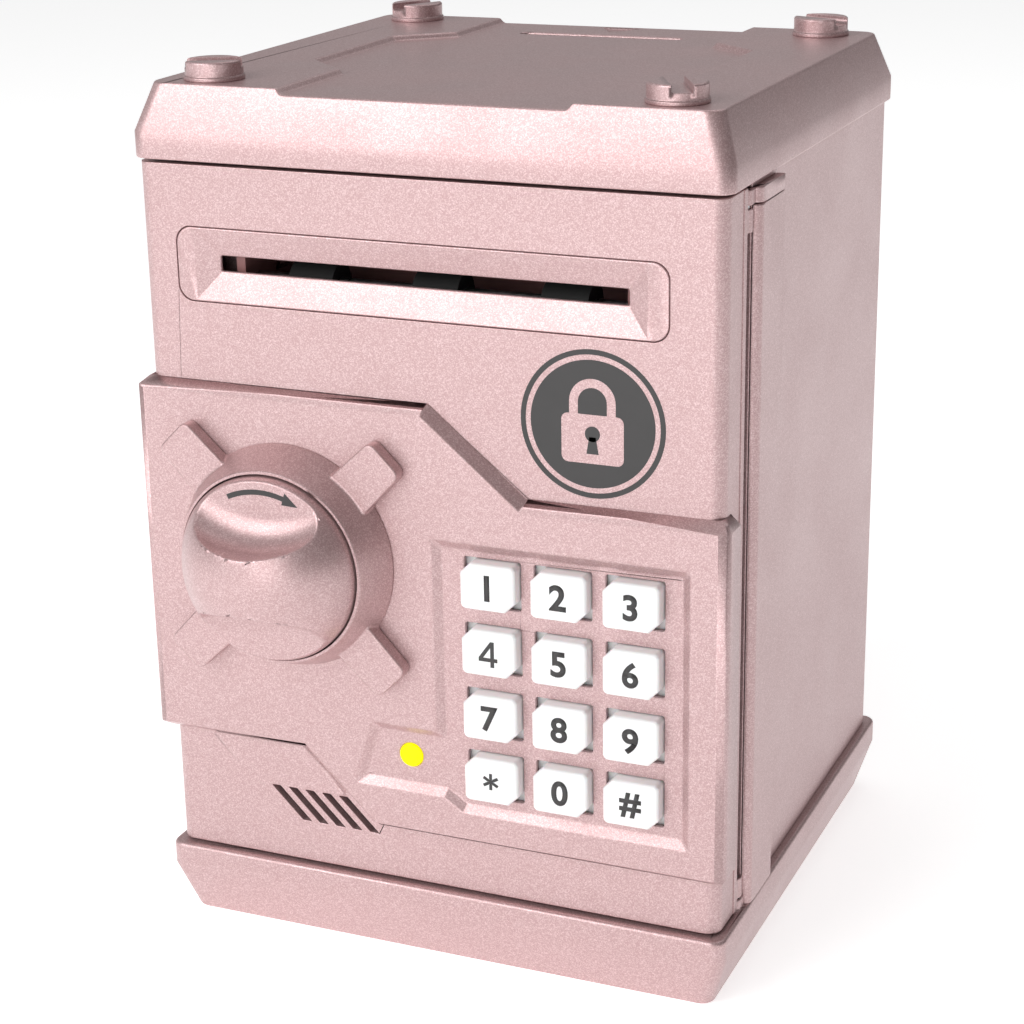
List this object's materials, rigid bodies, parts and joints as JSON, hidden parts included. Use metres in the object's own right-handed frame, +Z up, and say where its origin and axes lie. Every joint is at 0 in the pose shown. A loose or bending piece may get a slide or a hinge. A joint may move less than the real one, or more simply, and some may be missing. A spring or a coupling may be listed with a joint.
{
  "type": "toy safe coin bank",
  "caption": "Toy safe money bank with a hinged door, bill slot, turning knob latch, push-button keypad and a coin slot in the lid.",
  "frame": {"origin": "centre of the base's flat underside, at floor level", "axes": "+Z up, -Y out of the front door's face, +X to the viewer's right when facing the door"},
  "size_m": [0.1312, 0.1473, 0.191],
  "materials": {
    "rose_plastic": "satin metallic paint",
    "key_plastic": "satin",
    "steel": "brushed",
    "black_rubber": "matte",
    "grey_rubber": "matte",
    "dark_plastic": "matte",
    "white_plastic": "matte",
    "board": "satin",
    "led_yellow": "clear",
    "cell": "gloss",
    "copper": "satin"
  },
  "bodies": {
    "safe_box": {"base_shell": "rose_plastic", "base_plate": "rose_plastic", "floor_pads": "grey_rubber", "base_screws": "steel", "housing_shell": "rose_plastic", "hinge_post": "rose_plastic", "upper_hinge_bracket": "rose_plastic", "hinge_pins": "steel", "strike_plate": "steel", "top_cover": "rose_plastic", "coin_chute": "dark_plastic", "top_bolts": "rose_plastic", "cover_screws": "steel"},
    "door": {"door_shell": "rose_plastic", "lock_panel": "rose_plastic", "bill_slot_bezel": "rose_plastic", "door_back_cover": "rose_plastic", "door_screws": "steel", "knob_escutcheon": "rose_plastic", "latch_guide": "dark_plastic", "solenoid_body": "copper", "key_membrane": "grey_rubber", "circuit_board": "board", "led_lens": "led_yellow", "speaker": "dark_plastic", "battery_box": "dark_plastic", "batteries": "cell", "battery_contacts": "steel", "mechanism_cover": "dark_plastic", "roller_cradle": "dark_plastic", "feed_motor": "steel", "bill_guide": "dark_plastic"},
    "knob": {"knob_dial": "rose_plastic", "knob_shaft": "white_plastic", "knob_cam": "white_plastic", "knob_screw": "steel"},
    "latch": {"latch_bolt": "steel"},
    "plunger": {"lock_plunger": "steel"},
    "drive": {"drive_shaft": "steel", "drive_rollers": "black_rubber", "drive_gear": "white_plastic"},
    "idler": {"idler_shaft": "steel", "idler_rollers": "black_rubber"},
    "pinion": {"motor_pinion": "white_plastic"},
    "battery_hatch": {"battery_cover": "dark_plastic", "battery_cover_screw": "steel"},
    "body_key_1": {"key_1": "key_plastic"},
    "body_key_2": {"key_2": "key_plastic"},
    "body_key_3": {"key_3": "key_plastic"},
    "body_key_4": {"key_4": "key_plastic"},
    "body_key_5": {"key_5": "key_plastic"},
    "body_key_6": {"key_6": "key_plastic"},
    "body_key_7": {"key_7": "key_plastic"},
    "body_key_8": {"key_8": "key_plastic"},
    "body_key_9": {"key_9": "key_plastic"},
    "body_key_star": {"key_star": "key_plastic"},
    "body_key_0": {"key_0": "key_plastic"},
    "body_key_hash": {"key_hash": "key_plastic"}
  },
  "joints": [
    {"name": "door_hinge", "type": "hinge", "parent": "safe_box", "child": "door", "pos_m": [0.0624, -0.0456, 0.09], "axis": [0, 0, 1], "range_deg": [0, 90]},
    {"name": "knob_turn", "type": "hinge", "parent": "door", "child": "knob", "pos_m": [-0.0308, -0.066, 0.0904], "axis": [0, -1, 0], "range_deg": [0, 60]},
    {"name": "latch_slide", "type": "slide", "parent": "door", "child": "latch", "axis": [-1, 0, 0], "range_m": [0, 0.005]},
    {"name": "plunger_lift", "type": "slide", "parent": "door", "child": "plunger", "axis": [0, 0, 1], "range_m": [0, 0.003]},
    {"name": "drive_spin", "type": "hinge", "parent": "door", "child": "drive", "pos_m": [0, -0.0485, 0.1459], "axis": [1, 0, 0], "continuous": true},
    {"name": "idler_spin", "type": "hinge", "parent": "door", "child": "idler", "pos_m": [0, -0.0485, 0.1547], "axis": [1, 0, 0], "continuous": true},
    {"name": "pinion_spin", "type": "hinge", "parent": "door", "child": "pinion", "pos_m": [0.044, -0.0485, 0.1347], "axis": [1, 0, 0], "continuous": true},
    {"name": "battery_hatch_pull", "type": "slide", "parent": "door", "child": "battery_hatch", "axis": [0, 1, 0], "range_m": [0, 0.012]},
    {"name": "key_1_press", "type": "slide", "parent": "door", "child": "body_key_1", "axis": [0, 1, 0], "range_m": [0, 0.0012], "stiffness_N_per_m": 500, "springref_m": -0.0004},
    {"name": "key_2_press", "type": "slide", "parent": "door", "child": "body_key_2", "axis": [0, 1, 0], "range_m": [0, 0.0012], "stiffness_N_per_m": 500, "springref_m": -0.0004},
    {"name": "key_3_press", "type": "slide", "parent": "door", "child": "body_key_3", "axis": [0, 1, 0], "range_m": [0, 0.0012], "stiffness_N_per_m": 500, "springref_m": -0.0004},
    {"name": "key_4_press", "type": "slide", "parent": "door", "child": "body_key_4", "axis": [0, 1, 0], "range_m": [0, 0.0012], "stiffness_N_per_m": 500, "springref_m": -0.0004},
    {"name": "key_5_press", "type": "slide", "parent": "door", "child": "body_key_5", "axis": [0, 1, 0], "range_m": [0, 0.0012], "stiffness_N_per_m": 500, "springref_m": -0.0004},
    {"name": "key_6_press", "type": "slide", "parent": "door", "child": "body_key_6", "axis": [0, 1, 0], "range_m": [0, 0.0012], "stiffness_N_per_m": 500, "springref_m": -0.0004},
    {"name": "key_7_press", "type": "slide", "parent": "door", "child": "body_key_7", "axis": [0, 1, 0], "range_m": [0, 0.0012], "stiffness_N_per_m": 500, "springref_m": -0.0004},
    {"name": "key_8_press", "type": "slide", "parent": "door", "child": "body_key_8", "axis": [0, 1, 0], "range_m": [0, 0.0012], "stiffness_N_per_m": 500, "springref_m": -0.0004},
    {"name": "key_9_press", "type": "slide", "parent": "door", "child": "body_key_9", "axis": [0, 1, 0], "range_m": [0, 0.0012], "stiffness_N_per_m": 500, "springref_m": -0.0004},
    {"name": "key_star_press", "type": "slide", "parent": "door", "child": "body_key_star", "axis": [0, 1, 0], "range_m": [0, 0.0012], "stiffness_N_per_m": 500, "springref_m": -0.0004},
    {"name": "key_0_press", "type": "slide", "parent": "door", "child": "body_key_0", "axis": [0, 1, 0], "range_m": [0, 0.0012], "stiffness_N_per_m": 500, "springref_m": -0.0004},
    {"name": "key_hash_press", "type": "slide", "parent": "door", "child": "body_key_hash", "axis": [0, 1, 0], "range_m": [0, 0.0012], "stiffness_N_per_m": 500, "springref_m": -0.0004}
  ],
  "couplings": [
    {"joint": "latch_slide", "follows": "knob_turn", "m_per_rad": 0.0047746},
    {"joint": "pinion_spin", "follows": "drive_spin", "ratio": -1.3333},
    {"joint": "idler_spin", "follows": "drive_spin", "ratio": -1.125}
  ]
}
